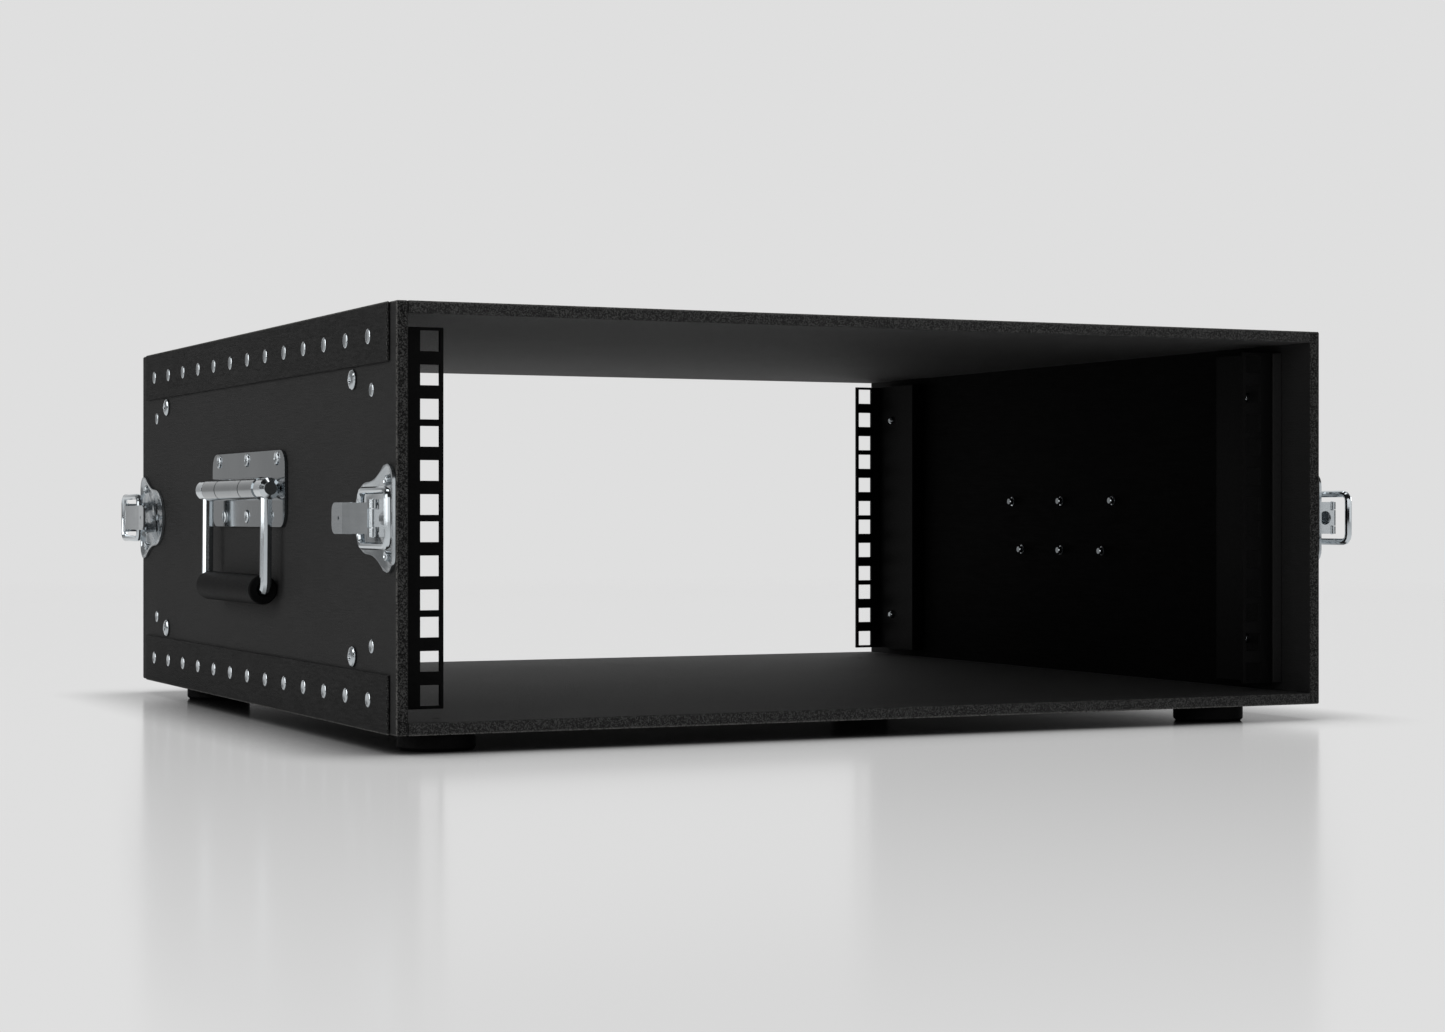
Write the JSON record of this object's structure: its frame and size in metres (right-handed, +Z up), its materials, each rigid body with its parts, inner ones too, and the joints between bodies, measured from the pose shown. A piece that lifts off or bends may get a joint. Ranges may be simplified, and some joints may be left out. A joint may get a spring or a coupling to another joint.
{
  "type": "equipment rack case",
  "caption": "Open-ended case with rack rails at both ends, swing-out side handles, draw latches on the edges and round rubber feet.",
  "frame": {"origin": "centre of the bounding box at the bottom of the feet", "axes": "+X to the right seen from the front, +Y from front to rear, +Z up"},
  "size_m": [0.5462, 0.5256, 0.2068],
  "materials": {
    "laminate": "black textured laminate on thin board",
    "edging": "black textured edge strip",
    "rail_steel": "black powder coat",
    "zinc": "bright zinc plate",
    "rubber": "matt black rubber"
  },
  "bodies": {
    "case": {"panel_bottom": "laminate", "panel_top": "laminate", "panel_left": "laminate", "panel_right": "laminate", "strip_bottom_left": "edging", "strip_bottom_right": "edging", "strip_top_left": "edging", "strip_top_right": "edging", "rail_front_left": "rail_steel", "rail_front_right": "rail_steel", "rail_rear_left": "rail_steel", "rail_rear_right": "rail_steel", "spacer_front_left": "laminate", "spacer_front_right": "laminate", "spacer_rear_left": "laminate", "spacer_rear_right": "laminate", "bolt_front_left_lower": "zinc", "bolt_front_left_upper": "zinc", "bolt_front_right_lower": "zinc", "bolt_front_right_upper": "zinc", "bolt_rear_left_lower": "zinc", "bolt_rear_left_upper": "zinc", "bolt_rear_right_lower": "zinc", "bolt_rear_right_upper": "zinc", "foot_front_left": "rubber", "foot_front_right": "rubber", "foot_rear_left": "rubber", "foot_rear_right": "rubber", "foot_screw_front_left": "zinc", "foot_screw_front_right": "zinc", "foot_screw_rear_left": "zinc", "foot_screw_rear_right": "zinc", "handle_plate_left": "zinc", "handle_plate_right": "zinc", "handle_pin_left": "zinc", "handle_pin_right": "zinc", "latch_base_front_left": "zinc", "latch_base_front_right": "zinc", "latch_base_rear_left": "zinc", "latch_base_rear_right": "zinc", "latch_pin_front_left": "zinc", "latch_pin_front_right": "zinc", "latch_pin_rear_left": "zinc", "latch_pin_rear_right": "zinc"},
    "handle_left": {"handle_bail_left": "zinc", "handle_grip_left": "rubber"},
    "handle_right": {"handle_bail_right": "zinc", "handle_grip_right": "rubber"},
    "lever_front_left": {"latch_lever_front_left": "zinc"},
    "lever_front_right": {"latch_lever_front_right": "zinc"},
    "lever_rear_left": {"latch_lever_rear_left": "zinc"},
    "lever_rear_right": {"latch_lever_rear_right": "zinc"},
    "loop_front_left": {"latch_loop_front_left": "zinc"},
    "loop_front_right": {"latch_loop_front_right": "zinc"},
    "loop_rear_left": {"latch_loop_rear_left": "zinc"},
    "loop_rear_right": {"latch_loop_rear_right": "zinc"}
  },
  "joints": [
    {"name": "handle_left_swing", "type": "hinge", "parent": "case", "child": "handle_left", "pos_m": [-0.26495, 0, 0.1229], "axis": [0, 1, 0], "range_deg": [0, 90]},
    {"name": "handle_right_swing", "type": "hinge", "parent": "case", "child": "handle_right", "pos_m": [0.26495, 0, 0.1023], "axis": [0, -1, 0], "range_deg": [0, 90]},
    {"name": "lever_front_left_open", "type": "hinge", "parent": "case", "child": "lever_front_left", "pos_m": [-0.26745, -0.24515, 0.1077], "axis": [0, 0, 1], "range_deg": [0, 110]},
    {"name": "lever_front_right_open", "type": "hinge", "parent": "case", "child": "lever_front_right", "pos_m": [0.26745, -0.24515, 0.1077], "axis": [0, 0, -1], "range_deg": [0, 110]},
    {"name": "lever_rear_left_open", "type": "hinge", "parent": "case", "child": "lever_rear_left", "pos_m": [-0.26745, 0.24515, 0.1077], "axis": [0, 0, -1], "range_deg": [0, 110]},
    {"name": "lever_rear_right_open", "type": "hinge", "parent": "case", "child": "lever_rear_right", "pos_m": [0.26745, 0.24515, 0.1077], "axis": [0, 0, 1], "range_deg": [0, 110]},
    {"name": "loop_front_left_turn", "type": "hinge", "parent": "lever_front_left", "child": "loop_front_left", "pos_m": [-0.26575, -0.22125, 0.1077], "axis": [0, 0, 1], "range_deg": [-110, 0]},
    {"name": "loop_front_right_turn", "type": "hinge", "parent": "lever_front_right", "child": "loop_front_right", "pos_m": [0.26575, -0.22125, 0.1077], "axis": [0, 0, -1], "range_deg": [-110, 0]},
    {"name": "loop_rear_left_turn", "type": "hinge", "parent": "lever_rear_left", "child": "loop_rear_left", "pos_m": [-0.26575, 0.22125, 0.1077], "axis": [0, 0, -1], "range_deg": [-110, 0]},
    {"name": "loop_rear_right_turn", "type": "hinge", "parent": "lever_rear_right", "child": "loop_rear_right", "pos_m": [0.26575, 0.22125, 0.1077], "axis": [0, 0, 1], "range_deg": [-110, 0]}
  ],
  "couplings": [
    {"joint": "loop_front_left_turn", "follows": "lever_front_left_open", "ratio": -1},
    {"joint": "loop_front_right_turn", "follows": "lever_front_right_open", "ratio": -1},
    {"joint": "loop_rear_left_turn", "follows": "lever_rear_left_open", "ratio": -1},
    {"joint": "loop_rear_right_turn", "follows": "lever_rear_right_open", "ratio": -1}
  ]
}
